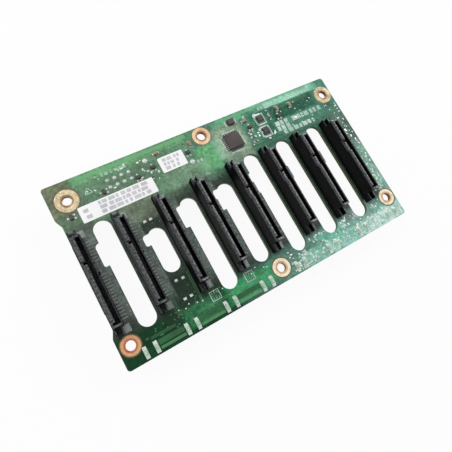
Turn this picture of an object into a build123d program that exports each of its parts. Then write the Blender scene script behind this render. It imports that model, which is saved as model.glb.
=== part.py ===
import os

from build123d import *

os.makedirs("parts", exist_ok=True)

# Drive backplane board, in millimetres. Eight drive receptacles stand on the front face of a
# circuit board, and the cable receptacles and the power header stand on its rear face.
# X runs along the board, Y up it and Z out of the front face. Places are given from the board's
# lower left corner and its rear face, and each finished piece is moved so that the centre of the
# lower left mounting hole, at the rear face, is the origin. What stands above the receptacles is
# placed by its drop from the board's top edge.

# Bays
BAY_COUNT = 8
BAY_PITCH = 17.0
FIRST_BAY_X = 4.55
LAST_BAY_MARGIN = 12.45

# Drive receptacle: a slot for the drive's tongue, between a thick wall and a thin one. Widths are
# from the slot's middle. The thick wall holds the power and signal contacts, and the thin wall
# bulges where it holds the second port's.
CONTACT_PITCH = 1.27
POWER_CONTACTS = 15
SIGNAL_CONTACTS = 7
FIELD_GAP = 5.9
FIELD_END = 1.15
PORT_B_CONTACTS = 7
PORT_B_PITCH = 0.8
SLOT_WIDTH = 1.5
SLOT_FLOOR = 2.2
SLOT_LEAD_IN = 0.25
RIB_STEP = 0.4
KEY_LENGTH = 0.9
KEY_REACH = 1.2
END_WALL = 0.9
HOUSING_LEFT = 2.8
HOUSING_RIGHT = 1.45
HOUSING_HEIGHT = 8.4
HOUSING_DRAFT = 0.12
RIM_CHAMFER = 0.2
BULGE_REACH = 0.5
BULGE_MARGIN = 0.4
NOTCH_DEPTH = 0.8
GUIDE_LENGTH = 3.3
GUIDE_HEIGHT = 4.2
GUIDE_RIGHT = 0.4
GUIDE_WALL = 0.6
GUIDE_FLOOR = 1.2
TAIL_RELIEF = 0.45
PEG_X = -1.2
PEG_RADIUS = 0.7
PEG_SIDES = 6
PEG_STICK_OUT = 0.4
PEG_CLEARANCE = 0.08

# Contact strips of the drive receptacle
CONTACT_WIDTH = 0.34
CONTACT_THICKNESS = 0.2
CONTACT_HEIGHT = 6.6
CONTACT_REACH = 0.18
CONTACT_ROOT = 0.55
CAVITY_WIDTH = 0.5
CAVITY_DEPTH = 0.85
CAVITY_TOP = 7.0
TAIL_LENGTH = 1.5
PORT_B_TAIL = 0.5

# Hold-down tabs at the receptacle's ends
TAB_LENGTH = 2.6
TAB_FOOT = 2.0
TAB_HEIGHT = 1.9
TAB_THICKNESS = 0.25

# Circuit board: the receptacles' length and a margin below and above them give its height
SLOT_LENGTH = (POWER_CONTACTS + SIGNAL_CONTACTS - 2) * CONTACT_PITCH + FIELD_GAP + 2 * FIELD_END
HOUSING_LENGTH = SLOT_LENGTH + 2 * (END_WALL + GUIDE_LENGTH)
LOWER_MARGIN = 12.3
UPPER_MARGIN = 20.7
BOARD_LENGTH = FIRST_BAY_X + (BAY_COUNT - 1) * BAY_PITCH + LAST_BAY_MARGIN
BOARD_HEIGHT = LOWER_MARGIN + HOUSING_LENGTH + UPPER_MARGIN
BOARD_THICKNESS = 1.6
CORNER_RADIUS = 1.2
RECESS_DEPTH = 1.4
RECESS_FROM_Y = 12.6
RECESS_DROP = 13.5
RECESS_SLOPE = 3.0
RECESS_RADIUS = 2.0

# Mounting holes
HOLE_RADIUS = 1.9
MOUNTING_HOLES = {
    "lower_left": (4.6, 7.9),
    "upper_left": (7.0, BOARD_HEIGHT - 8.0),
    "upper_middle": (67.6, BOARD_HEIGHT - 4.3),
    "upper_right": (BOARD_LENGTH - 4.4, BOARD_HEIGHT - 8.0),
    "lower_right": (BOARD_LENGTH - 4.4, 10.3),
    "lower_middle": (69.9, 5.8),
}

# Airflow cut-outs, one between each two bays, each with a pocket in its left side. Spans are
# from the board's lower edge and, for the upper end, by the drop from its top edge.
TAIL_STRIP = 4.58
HOUSING_STRIP = 1.0
CUTOUT_SPANS = [
    (10.6, 20.0), (24.3, 31.7), (8.0, 26.0), (11.4, 26.9), (8.0, 20.1), (8.0, 20.1), (8.0, 20.1),
]
POCKET_DEPTH = 1.88
POCKET_SPAN = (4.2, 13.9)
POCKET_CLEARANCE = 1.0
POCKET_LOWER_RADIUS = 0.8
POCKET_UPPER_RADIUS = 1.7

# Labels
LABEL_THICKNESS = 0.12
LONG_LABEL = (24.6, 15.7, 31.2, 6.6)
SHORT_LABEL = (51.1, 9.7, 11.2, 6.8)
LABEL_RADIUS = 0.5

# Controller chip, a square flat pack
CHIP_CENTRE = (79.3, 12.0)
CHIP_SIDE = 7.0
CHIP_HEIGHT = 1.4
CHIP_LEADS = 8
CHIP_LEAD_PITCH = 0.8
CHIP_LEAD_WIDTH = 0.36
CHIP_LEAD_REACH = 1.0
LEAD_THICKNESS = 0.15
HEEL_SHARE = 0.4
PACKAGE_DRAFT = 0.3
PACKAGE_TAPER = 7
DIMPLE_MARGIN = 1.0
DIMPLE_RADIUS = 0.35
DIMPLE_DEPTH = 0.1

# Two small eight-lead chips
SMALL_CHIPS = [(96.0, 7.4), (95.7, 13.6)]
SMALL_CHIP_SIZE = (3.0, 2.4, 1.0)
SMALL_CHIP_LEADS = 4
SMALL_CHIP_PITCH = 0.7
SMALL_CHIP_LEAD_WIDTH = 0.32
CHIP_STAND_OFF = 0.12

# Three-lead transistors and diodes, with the turn of each in degrees
TRANSISTORS = [
    (20.8, 10.4, 90), (35.4, 10.4, 0), (42.5, 8.9, 0), (58.6, 8.8, 0),
    (89.6, 9.0, 0), (105.1, 9.3, 0), (5.9, 14.8, 90),
]
TRANSISTOR_SIZE = (2.0, 1.4, 1.0)
TRANSISTOR_FEET = [(0, 1), (-0.7, -1), (0.7, -1)]
TRANSISTOR_FOOT = (0.4, 0.55)
POWER_TRANSISTOR = (82.6, 3.6, 90)
POWER_TRANSISTOR_SIZE = (2.6, 3.2, 1.4)
POWER_TRANSISTOR_FOOT = (1.8, 0.7)
FOOT_THICKNESS = 0.22

# Chip capacitors and resistors on the front face
CAPACITORS = [(106.1, 5.8, 90), (88.6, 5.4, 0), (46.2, 3.8, 0), (61.2, 5.8, 90), (112.9, 6.4, 90)]
CAPACITOR_SIZE = (2.0, 1.25, 1.0)
RESISTORS = [(88.8, 11.4, 0), (88.8, 13.8, 0), (88.8, 16.1, 0), (100.9, 5.6, 90), (100.9, 8.4, 90)]
RESISTOR_SIZE = (1.6, 0.8, 0.5)
END_CAP_LENGTH = 0.4
END_CAP_PROUD = 0.04
END_CAP_COVER = 0.05

# Status lights, a pair below each bay
LIGHT_OFFSETS = (3.7, 7.95)
LIGHT_Y = 3.0
LIGHT_SIZE = (1.6, 3.2, 0.55)
LENS_SIZE = (1.3, 1.9, 0.55)
LENS_TAPER = 12

# Power header on the rear: two rows of four square pins in a shrouded housing
POWER_CENTRE = (28.35, BOARD_HEIGHT - 8.35)
POWER_PITCH = 3.0
POWER_COLUMNS = 4
POWER_ROWS = 2
PIN_SIDE = 0.64
PIN_HOLE_RADIUS = 0.52
PIN_REACH = 6.9
PIN_TIP = 0.5
PIN_TIP_TAPER = 18
PIN_STICK_OUT = 0.9
HEADER_MARGIN_X = 2.5
HEADER_MARGIN_Y = 2.3
HEADER_HEIGHT = 9.9
HEADER_WALL = 0.9
HEADER_FLOOR = 2.3
HEADER_RADIUS = 0.5
HEADER_KEY = 1.1
LATCH_WIDTH = 3.2
LATCH_REACH = 1.0
LATCH_HEIGHT = 1.4
LATCH_FROM_MOUTH = 1.2
PIN_CLEARANCE = 0.06

# Drive link cable receptacles on the rear: a metal cage round an insulator with a card slot
LINK_CENTRES = [(49.8, BOARD_HEIGHT - 9.0), (103.5, BOARD_HEIGHT - 9.0)]
LINK_CONTACTS = 18
LINK_PITCH = 0.8
LINK_HEIGHT = 11.6
CAGE_LENGTH = 23.8
CAGE_WIDTH = 8.6
CAGE_WALL = 0.4
CAGE_RADIUS = 0.9
CAGE_WINDOW = (3.4, 2.2)
CAGE_WINDOW_X = 7.0
CAGE_WINDOW_FROM_MOUTH = 2.0
CAGE_POST = (1.0, 1.3)
CAGE_POST_SETBACK = 3.0
CAGE_POST_HOLE_RADIUS = 0.62
CAGE_GAP = 0.05
LINK_BASE_HEIGHT = 2.6
LINK_BODY = (19.4, 4.6)
LINK_BODY_HEIGHT = 10.4
CARD_SLOT = (16.6, 1.3)
CARD_SLOT_FLOOR = 3.4
LINK_TROUGH_DEPTH = 0.7
LINK_TROUGH_MARGIN = 0.3
LINK_CONTACT_WIDTH = 0.32
LINK_CONTACT_TOP = 9.2
LINK_CONTACT_REACH = 0.1
LINK_CONTACT_ROOT = 0.3

# Capacitors on the rear, one behind each bay, from its receptacle's middle
REAR_CAPACITOR_OFFSET = (0.7, -14.6)

# Sizes that follow from those above
BAY_CENTRE_Y = LOWER_MARGIN + HOUSING_LENGTH / 2
SLOT_HALF = SLOT_WIDTH / 2
SLOT_LOW_Y = -SLOT_LENGTH / 2
RIB_BASE = SLOT_FLOOR + RIB_STEP
POWER_Y = [SLOT_LOW_Y + FIELD_END + i * CONTACT_PITCH for i in range(POWER_CONTACTS)]
SIGNAL_Y = [-SLOT_LOW_Y - FIELD_END - i * CONTACT_PITCH for i in range(SIGNAL_CONTACTS)]
GAP_Y = POWER_Y[-1] + FIELD_GAP / 2
PORT_B_Y = [GAP_Y + (i - (PORT_B_CONTACTS - 1) / 2) * PORT_B_PITCH for i in range(PORT_B_CONTACTS)]
BULGE_Y = (PORT_B_Y[0] - BULGE_MARGIN, PORT_B_Y[-1] + BULGE_MARGIN)
PEG_Y = HOUSING_LENGTH / 2 - GUIDE_LENGTH / 2
BAY_X = [FIRST_BAY_X + i * BAY_PITCH for i in range(BAY_COUNT)]
FRONT = BOARD_THICKNESS
POWER_X = [(i - (POWER_COLUMNS - 1) / 2) * POWER_PITCH for i in range(POWER_COLUMNS)]
POWER_ROW_Y = [(j - (POWER_ROWS - 1) / 2) * POWER_PITCH for j in range(POWER_ROWS)]
POST_X = CAGE_LENGTH / 2 - CAGE_POST_SETBACK
POST_Y = (CAGE_WIDTH - CAGE_WALL) / 2
POSTS = [(-POST_X, POST_Y), (POST_X, -POST_Y)]
LINK_X = [(i - (LINK_CONTACTS - 1) / 2) * LINK_PITCH for i in range(LINK_CONTACTS)]
ORIGIN = Pos(-MOUNTING_HOLES["lower_left"][0], -MOUNTING_HOLES["lower_left"][1], 0)
REAR_FACING = Rot(180, 0, 0)
LOW = (Align.CENTER, Align.CENTER, Align.MIN)
HIGH = (Align.CENTER, Align.CENTER, Align.MAX)


def save(name, *solids):
    """Writes one node from its separate solids, moved to the board's origin."""
    pieces = [ORIGIN * solid for group in solids for solid in group.solids()]
    shape = pieces[0] if len(pieces) == 1 else Compound(children=pieces)
    shape.label = name
    export_step(shape, f"parts/{name}.step")


def block(x, y, z):
    """A box between two values along each axis."""
    size = (x[1] - x[0], y[1] - y[0], z[1] - z[0])
    return Pos(x[0], y[0], z[0]) * Box(*size, align=(Align.MIN, Align.MIN, Align.MIN))


def strip(profile, width, y):
    """An outline in X and Z, extruded to its width along Y about one place."""
    face = make_face(Plane.XZ * Polyline(*profile, close=True))
    return Pos(0, y, 0) * extrude(face, width / 2, both=True)


def bay_place(x):
    return Pos(x, BAY_CENTRE_Y, FRONT)


def from_top(x, drop, turn=0):
    """A place on the front face, given by its drop from the board's top edge."""
    return Pos(x, BOARD_HEIGHT - drop, FRONT) * Rot(0, 0, turn)


def rear_place(centre):
    """A place on the rear face, with local Z out of that face."""
    return Pos(*centre, 0) * REAR_FACING


# Circuit board: one laminate sheet with every hole and cut-out


def board_outline():
    """The sheet's edge, with the shallow recess in its left side."""
    points = [
        (0, 0), (BOARD_LENGTH, 0), (BOARD_LENGTH, BOARD_HEIGHT), (0, BOARD_HEIGHT),
        (0, BOARD_HEIGHT - RECESS_DROP), (RECESS_DEPTH, BOARD_HEIGHT - RECESS_DROP - RECESS_SLOPE),
        (RECESS_DEPTH, RECESS_FROM_Y + RECESS_SLOPE), (0, RECESS_FROM_Y),
    ]
    radii = [CORNER_RADIUS] * 4 + [RECESS_RADIUS] * 4
    return make_face(FilletPolyline(*points, radius=radii, close=True))


def cutout(index):
    """A slot with round ends between two bays, and the pocket in its left side."""
    low, drop = CUTOUT_SPANS[index]
    high = BOARD_HEIGHT - drop
    left = BAY_X[index] + HOUSING_RIGHT + TAIL_STRIP
    right = BAY_X[index + 1] - HOUSING_LEFT - HOUSING_STRIP
    width = right - left
    middle = (left + right) / 2
    slot = Pos(middle, (low + high) / 2) * SlotOverall(high - low, width, rotation=90)
    pocket_low = BAY_CENTRE_Y + POCKET_SPAN[0]
    pocket_top = min(BAY_CENTRE_Y + POCKET_SPAN[1], high - POCKET_CLEARANCE)
    points = [
        (left - POCKET_DEPTH, pocket_low), (middle, pocket_low),
        (middle, pocket_top), (left - POCKET_DEPTH, pocket_top),
    ]
    radii = [POCKET_LOWER_RADIUS, 0, 0, POCKET_UPPER_RADIUS]
    pocket = make_face(FilletPolyline(*points, radius=radii, close=True))
    return slot + pocket


def round_hole(x, y, radius):
    return Pos(x, y) * Circle(radius)


def circuit_board():
    holes = [cutout(i) for i in range(BAY_COUNT - 1)]
    holes += [round_hole(x, y, HOLE_RADIUS) for x, y in MOUNTING_HOLES.values()]
    for x in BAY_X:
        for side in (-1, 1):
            holes.append(round_hole(x + PEG_X, BAY_CENTRE_Y + side * PEG_Y, PEG_RADIUS + PEG_CLEARANCE))
    for x in POWER_X:
        for y in POWER_ROW_Y:
            holes.append(round_hole(POWER_CENTRE[0] + x, POWER_CENTRE[1] + y, PIN_HOLE_RADIUS))
    for centre_x, centre_y in LINK_CENTRES:
        for x, y in POSTS:
            holes.append(round_hole(centre_x + x, centre_y - y, CAGE_POST_HOLE_RADIUS))
    return extrude(board_outline() - holes, BOARD_THICKNESS)


# Drive receptacle: local Z starts at the board's front face


def contact_cavities():
    """Grooves in the slot's walls for the contacts, channels for their roots, and a gap for their tails."""
    outer = SLOT_HALF + CAVITY_DEPTH
    half = CAVITY_WIDTH / 2
    cuts = []
    for sign, places in ((-1, POWER_Y), (-1, SIGNAL_Y), (1, PORT_B_Y)):
        groove_x = sorted((0, sign * outer))
        cuts += [block(groove_x, (y - half, y + half), (RIB_BASE, CAVITY_TOP)) for y in places]
        channel_x = sorted((sign * SLOT_HALF, sign * outer))
        cuts.append(block(channel_x, (min(places) - half, max(places) + half), (0, RIB_BASE)))
    tails_y = (POWER_Y[0] - half, SIGNAL_Y[0] + half)
    cuts.append(block((-outer, HOUSING_RIGHT + 2 * BULGE_REACH), tails_y, (0, TAIL_RELIEF)))
    return cuts


def guide_end(side):
    """A low open mouth beyond the slot's end wall, with a peg for the board under it."""
    inner, outer = SLOT_LENGTH / 2 + END_WALL, HOUSING_LENGTH / 2
    end_y = sorted((side * SLOT_LENGTH / 2, side * outer))
    end = block((-HOUSING_LEFT, GUIDE_RIGHT), end_y, (0, GUIDE_HEIGHT))
    mouth_x = (GUIDE_WALL - HOUSING_LEFT, GUIDE_RIGHT - GUIDE_WALL)
    end -= block(mouth_x, sorted((side * inner, side * (outer + 1))), (GUIDE_FLOOR, GUIDE_HEIGHT + 1))
    peg = Pos(PEG_X, side * PEG_Y) * RegularPolygon(PEG_RADIUS, PEG_SIDES)
    return end + extrude(peg, -BOARD_THICKNESS - PEG_STICK_OUT)


def drive_housing():
    """One moulding: drafted block, keyed slot with a lead-in all round, low guide ends and a bulge."""
    left, right = HOUSING_DRAFT - HOUSING_LEFT, HOUSING_RIGHT - HOUSING_DRAFT
    rim = HOUSING_HEIGHT - RIM_CHAMFER
    profile = [
        (-HOUSING_LEFT, 0), (HOUSING_RIGHT, 0), (right, rim), (right - RIM_CHAMFER, HOUSING_HEIGHT),
        (left + RIM_CHAMFER, HOUSING_HEIGHT), (left, rim),
    ]
    top = HOUSING_HEIGHT + 1
    body = strip(profile, SLOT_LENGTH + 2 * END_WALL, 0) + guide_end(-1) + guide_end(1)
    body += block((SLOT_HALF, right + BULGE_REACH), BULGE_Y, (0, rim))
    body -= block((-SLOT_HALF, SLOT_HALF), (SLOT_LOW_Y, -SLOT_LOW_Y), (SLOT_FLOOR, top))
    for key_end in (SLOT_LOW_Y + KEY_LENGTH, SIGNAL_Y[-1] - CAVITY_WIDTH):
        key_y = (key_end - KEY_LENGTH, key_end)
        body -= block((-SLOT_HALF - KEY_REACH, -SLOT_HALF), key_y, (SLOT_FLOOR, top))
    mouth = extrude(Rectangle(SLOT_WIDTH, SLOT_LENGTH), 2 * SLOT_LEAD_IN, taper=-45)
    body -= Pos(0, 0, HOUSING_HEIGHT - SLOT_LEAD_IN) * mouth
    body -= block((-HOUSING_LEFT - 1, -SLOT_HALF), BULGE_Y, (HOUSING_HEIGHT - NOTCH_DEPTH, top))
    return body - contact_cavities()


def contact_strip(tail_x, side):
    """A contact's outline: its tail on the board, and a spring arm that thins towards its tip."""
    root = side * (SLOT_HALF + CONTACT_ROOT)
    nose = side * (SLOT_HALF - CONTACT_REACH)
    thick = CONTACT_THICKNESS
    return [
        (tail_x, 0), (tail_x, thick), (root + thick, thick), (nose, CONTACT_HEIGHT), (root - thick, 0),
    ]


def drive_contacts():
    """Power and signal contacts in the thick wall, and the second port's in the thin one."""
    main = contact_strip(HOUSING_RIGHT + TAIL_LENGTH, -1)
    second = contact_strip(HOUSING_RIGHT + BULGE_REACH + PORT_B_TAIL, 1)
    strips = [strip(main, CONTACT_WIDTH, y) for y in POWER_Y + SIGNAL_Y]
    return strips + [strip(second, CONTACT_WIDTH, y) for y in PORT_B_Y]


def hold_down_tabs():
    """Metal angles soldered beside a receptacle's two guide ends."""
    side = GUIDE_RIGHT
    profile = [
        (side, 0), (side + TAB_FOOT, 0), (side + TAB_FOOT, TAB_THICKNESS),
        (side + TAB_THICKNESS, TAB_THICKNESS), (side + TAB_THICKNESS, TAB_HEIGHT), (side, TAB_HEIGHT),
    ]
    return [strip(profile, TAB_LENGTH, sign * PEG_Y) for sign in (-1, 1)]


# Front face: labels, chips and small parts


def label(place):
    x, drop, length, height = place
    return from_top(x, drop) * extrude(RectangleRounded(length, height, LABEL_RADIUS), LABEL_THICKNESS)


def moulded_package(length, width, height):
    """A chip's body: two drafted halves that meet at the lead line."""
    narrow = Rectangle(length - PACKAGE_DRAFT, width - PACKAGE_DRAFT)
    wide = Pos(0, 0, height / 2) * Rectangle(length, width)
    return loft([narrow, wide]) + loft([wide, Pos(0, 0, height) * narrow])


def gull_wing(root, reach, rise):
    """A lead's outline: it slants from the package's side down to its flat foot on the board."""
    heel = root + reach * HEEL_SHARE
    return [
        (root, rise), (root, rise + LEAD_THICKNESS), (root + reach, LEAD_THICKNESS),
        (root + reach, 0), (heel, 0),
    ]


def lead_row(count, pitch, width, profile):
    return [strip(profile, width, (i - (count - 1) / 2) * pitch) for i in range(count)]


def controller_chip():
    corner = CHIP_SIDE / 2 - DIMPLE_MARGIN
    dimple = Pos(-corner, corner, CHIP_HEIGHT) * Cylinder(DIMPLE_RADIUS, 2 * DIMPLE_DEPTH)
    body = moulded_package(CHIP_SIDE, CHIP_SIDE, CHIP_HEIGHT) - dimple
    return from_top(*CHIP_CENTRE) * Pos(0, 0, CHIP_STAND_OFF) * body


def controller_leads():
    profile = gull_wing(CHIP_SIDE / 2, CHIP_LEAD_REACH, CHIP_STAND_OFF + CHIP_HEIGHT / 2)
    row = lead_row(CHIP_LEADS, CHIP_LEAD_PITCH, CHIP_LEAD_WIDTH, profile)
    return [from_top(*CHIP_CENTRE, turn) * lead for turn in (0, 90, 180, 270) for lead in row]


def small_chips():
    body = Pos(0, 0, CHIP_STAND_OFF) * moulded_package(*SMALL_CHIP_SIZE)
    return [from_top(*centre) * body for centre in SMALL_CHIPS]


def small_chip_leads():
    """A row of leads along both long sides of each chip."""
    rise = CHIP_STAND_OFF + SMALL_CHIP_SIZE[2] / 2
    profile = gull_wing(SMALL_CHIP_SIZE[1] / 2, CHIP_LEAD_REACH, rise)
    row = lead_row(SMALL_CHIP_LEADS, SMALL_CHIP_PITCH, SMALL_CHIP_LEAD_WIDTH, profile)
    return [from_top(*centre, turn) * lead for centre in SMALL_CHIPS for turn in (90, 270) for lead in row]


def footed_package(size, feet, foot_width, foot_reach):
    """A drafted block whose flat feet run out under its long sides."""
    length, width, height = size
    body = extrude(Rectangle(length, width), height, taper=PACKAGE_TAPER)
    for x, side in feet:
        y = sorted((0, side * (width / 2 + foot_reach)))
        body += block((x - foot_width / 2, x + foot_width / 2), y, (0, FOOT_THICKNESS))
    return body


def transistors():
    """Small three-lead packages, and one larger two-lead one."""
    small = footed_package(TRANSISTOR_SIZE, TRANSISTOR_FEET, *TRANSISTOR_FOOT)
    large = footed_package(POWER_TRANSISTOR_SIZE, [(0, -1), (0, 1)], *POWER_TRANSISTOR_FOOT)
    return [from_top(*place) * small for place in TRANSISTORS] + [from_top(*POWER_TRANSISTOR) * large]


def chip_part(length, width, height):
    """A ceramic block with a slightly larger metal cap on each end."""
    part = Box(length - 2 * END_CAP_COVER, width - 2 * END_CAP_PROUD, height - END_CAP_PROUD, align=LOW)
    for side in (-1, 1):
        cap = Pos(side * (length - END_CAP_LENGTH) / 2, 0, 0)
        part += cap * Box(END_CAP_LENGTH, width, height, align=LOW)
    return part


def chip_parts(places, size):
    part = chip_part(*size)
    return [from_top(*place) * part for place in places]


def status_light():
    """A light: flat base with a drafted clear window on it."""
    base = Box(*LIGHT_SIZE, align=LOW)
    window = extrude(Rectangle(LENS_SIZE[0], LENS_SIZE[1]), LENS_SIZE[2], taper=LENS_TAPER)
    return base + Pos(0, 0, LIGHT_SIZE[2]) * window


def status_lights():
    light = status_light()
    return [Pos(x + offset, LIGHT_Y, FRONT) * light for x in BAY_X for offset in LIGHT_OFFSETS]


# Power header, on the rear


def power_header():
    """A shrouded housing with one keyed cavity, a latch ramp and a hole for each pin."""
    length = (POWER_COLUMNS - 1) * POWER_PITCH + 2 * HEADER_MARGIN_X
    width = (POWER_ROWS - 1) * POWER_PITCH + 2 * HEADER_MARGIN_Y
    body = extrude(RectangleRounded(length, width, HEADER_RADIUS), HEADER_HEIGHT)
    inner_x, inner_y = length / 2 - HEADER_WALL, width / 2 - HEADER_WALL
    key = HEADER_KEY
    cavity = Polyline(
        (-inner_x, inner_y), (-inner_x, key - inner_y), (key - inner_x, -inner_y),
        (inner_x - key, -inner_y), (inner_x, key - inner_y), (inner_x, inner_y), close=True,
    )
    body -= Pos(0, 0, HEADER_FLOOR) * extrude(make_face(cavity), HEADER_HEIGHT)
    latch_top = HEADER_HEIGHT - LATCH_FROM_MOUTH
    latch_base = latch_top - LATCH_HEIGHT
    ramp = [(width / 2, latch_top), (width / 2 + LATCH_REACH, latch_base), (width / 2, latch_base)]
    body += Rot(0, 0, 90) * strip(ramp, LATCH_WIDTH, 0)
    hole = Box(PIN_SIDE + 2 * PIN_CLEARANCE, PIN_SIDE + 2 * PIN_CLEARANCE, 3 * HEADER_FLOOR)
    for x in POWER_X:
        for y in POWER_ROW_Y:
            body -= Pos(x, y, 0) * hole
    return rear_place(POWER_CENTRE) * body


def power_pins():
    """Square pins with pointed tips, each standing through the board and a little out of its front."""
    tail = BOARD_THICKNESS + PIN_STICK_OUT
    pin = Pos(0, 0, -tail) * Box(PIN_SIDE, PIN_SIDE, tail + PIN_REACH, align=LOW)
    pin += Pos(0, 0, PIN_REACH) * extrude(Rectangle(PIN_SIDE, PIN_SIDE), PIN_TIP, taper=PIN_TIP_TAPER)
    return [rear_place(POWER_CENTRE) * Pos(x, y, 0) * pin for x in POWER_X for y in POWER_ROW_Y]


# Link receptacles, on the rear


def link_cage():
    """A folded metal tube with latch windows in one side and soldered posts in the board."""
    outer = RectangleRounded(CAGE_LENGTH, CAGE_WIDTH, CAGE_RADIUS)
    inner = RectangleRounded(
        CAGE_LENGTH - 2 * CAGE_WALL, CAGE_WIDTH - 2 * CAGE_WALL, CAGE_RADIUS - CAGE_WALL
    )
    cage = extrude(outer - inner, LINK_HEIGHT)
    window_z = LINK_HEIGHT - CAGE_WINDOW_FROM_MOUTH
    for x in (-CAGE_WINDOW_X, CAGE_WINDOW_X):
        cage -= block(
            (x - CAGE_WINDOW[0] / 2, x + CAGE_WINDOW[0] / 2), (0, CAGE_WIDTH),
            (window_z - CAGE_WINDOW[1], window_z),
        )
    for x, y in POSTS:
        cage += Pos(x, y, 0) * Box(CAGE_POST[0], CAGE_WALL, CAGE_POST[1], align=HIGH)
    return cage


def link_insulator():
    """A wide base and a raised body with the card slot, and a trough in each wall for contacts."""
    inside_x = CAGE_LENGTH - 2 * CAGE_WALL - 2 * CAGE_GAP
    inside_y = CAGE_WIDTH - 2 * CAGE_WALL - 2 * CAGE_GAP
    base = extrude(RectangleRounded(inside_x, inside_y, CAGE_RADIUS - CAGE_WALL), LINK_BASE_HEIGHT)
    body = base + Box(*LINK_BODY, LINK_BODY_HEIGHT, align=LOW)
    body -= Pos(0, 0, CARD_SLOT_FLOOR) * Box(*CARD_SLOT, LINK_BODY_HEIGHT, align=LOW)
    trough_x = LINK_X[-1] + LINK_CONTACT_WIDTH / 2 + LINK_TROUGH_MARGIN
    for side in (-1, 1):
        inner = side * CARD_SLOT[1] / 2
        outer = inner + side * LINK_TROUGH_DEPTH
        trough_z = (0, LINK_CONTACT_TOP + LINK_TROUGH_MARGIN)
        body -= block((-trough_x, trough_x), sorted((inner, outer)), trough_z)
    return body


def link_contacts():
    """Two facing rows of strips that rise from the board, each leaning into the card slot."""
    root = CARD_SLOT[1] / 2 + LINK_CONTACT_ROOT
    nose = CARD_SLOT[1] / 2 - LINK_CONTACT_REACH
    thick = CONTACT_THICKNESS
    profile = [(root, 0), (root + thick, 0), (nose + thick, LINK_CONTACT_TOP), (nose, LINK_CONTACT_TOP)]
    return [Rot(0, 0, turn) * strip(profile, LINK_CONTACT_WIDTH, x) for turn in (90, 270) for x in LINK_X]


# Rear capacitors


def rear_capacitors():
    part = REAR_FACING * Rot(0, 0, 90) * chip_part(*CAPACITOR_SIZE)
    dx, dy = REAR_CAPACITOR_OFFSET
    return [Pos(x + dx, BAY_CENTRE_Y + dy, 0) * part for x in BAY_X]


save("circuit_board", circuit_board())

housing = drive_housing()
contacts = drive_contacts()
tabs = hold_down_tabs()
for number, x in enumerate(BAY_X, start=1):
    save(f"drive_housing_{number}", bay_place(x) * housing)
    save(f"drive_contacts_{number}", *[bay_place(x) * contact for contact in contacts])
save("hold_down_tabs", *[bay_place(x) * tab for x in BAY_X for tab in tabs])

save("long_label", label(LONG_LABEL))
save("short_label", label(SHORT_LABEL))
save("controller_chip", controller_chip())
save("controller_leads", *controller_leads())
save("small_chips", *small_chips())
save("small_chip_leads", *small_chip_leads())
save("transistors", *transistors())
save("chip_capacitors", *chip_parts(CAPACITORS, CAPACITOR_SIZE))
save("chip_resistors", *chip_parts(RESISTORS, RESISTOR_SIZE))
save("status_lights", *status_lights())

save("power_header", power_header())
save("power_pins", *power_pins())
cage, insulator, link_strips = link_cage(), link_insulator(), link_contacts()
for number, centre in enumerate(LINK_CENTRES, start=1):
    save(f"link_cage_{number}", rear_place(centre) * cage)
    save(f"link_insulator_{number}", rear_place(centre) * insulator)
    save(f"link_contacts_{number}", *[rear_place(centre) * contact for contact in link_strips])
save("rear_capacitors", *rear_capacitors())
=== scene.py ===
import math
from random import Random

import bpy
from mathutils import Matrix, Vector


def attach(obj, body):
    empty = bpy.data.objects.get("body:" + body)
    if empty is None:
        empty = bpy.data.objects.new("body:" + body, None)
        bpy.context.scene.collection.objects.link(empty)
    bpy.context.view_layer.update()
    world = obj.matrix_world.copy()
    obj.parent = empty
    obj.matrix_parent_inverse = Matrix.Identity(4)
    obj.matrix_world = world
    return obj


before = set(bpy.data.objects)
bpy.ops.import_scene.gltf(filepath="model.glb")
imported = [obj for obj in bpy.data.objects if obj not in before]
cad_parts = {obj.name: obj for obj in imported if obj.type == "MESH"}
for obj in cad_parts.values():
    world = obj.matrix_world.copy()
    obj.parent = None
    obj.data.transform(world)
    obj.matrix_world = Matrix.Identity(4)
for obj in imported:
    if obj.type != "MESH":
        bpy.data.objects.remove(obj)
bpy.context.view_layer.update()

# The board's layout, in millimetres from its lower left corner and its front face. The frame's
# origin is the lower left mounting hole at the rear face.
MM = 0.001
CORNER_X, CORNER_Y = 4.6, 7.9
BOARD_LENGTH, BOARD_HEIGHT, BOARD_THICKNESS = 136.0, 75.0, 1.6
RECESS_DEPTH, RECESS_LOW, RECESS_HIGH = 1.6, 11.5, 62.5

# The drive receptacles: their places, how much board each one covers to its left and right and
# between which heights, and its contacts and hold-down tabs as heights from its middle
BAY_PITCH, BAY_Y = 17.0, 33.3
BAY_X = [4.55 + BAY_PITCH * i for i in range(8)]
BAYS = [(x, BAY_Y, 0) for x in BAY_X]
COVERED_LEFT, COVERED_RIGHT, COVERED_LOW, COVERED_HIGH = 3.0, 3.4, 11.6, 55.0
CONTACT_PITCH, SECOND_PORT_PITCH = 1.27, 0.8
POWER_Y = [-15.65 + CONTACT_PITCH * i for i in range(15)]
SIGNAL_Y = [8.03 + CONTACT_PITCH * i for i in range(7)]
SECOND_PORT_Y = [5.08 + SECOND_PORT_PITCH * (i - 3) for i in range(7)]
TAB_Y = 19.35

# Mounting holes: place and radius of each bare land, by how its plating looks
HOLE_RADIUS, SCREW_HEAD_RADIUS = 1.9, 2.6
LANDS = {
    "copper": [(4.6, 7.9, 3.7)],
    "warm": [(67.6, 70.7, 4.0)],
    "gold": [(7.0, 67.0, 4.6), (131.6, 67.0, 4.3), (131.6, 10.3, 3.8), (69.9, 5.8, 3.9)],
}

# The power header and the link receptacles stand on the rear, and so do the ceramic capacitors
HEADER_X, HEADER_Y, HEADER_PITCH = 28.35, 66.65, 3.0
LINKS = [(49.8, 66.0), (103.5, 66.0)]
REAR_CAPACITORS = [(x + 0.7, 18.7, 90) for x in BAY_X]

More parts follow.
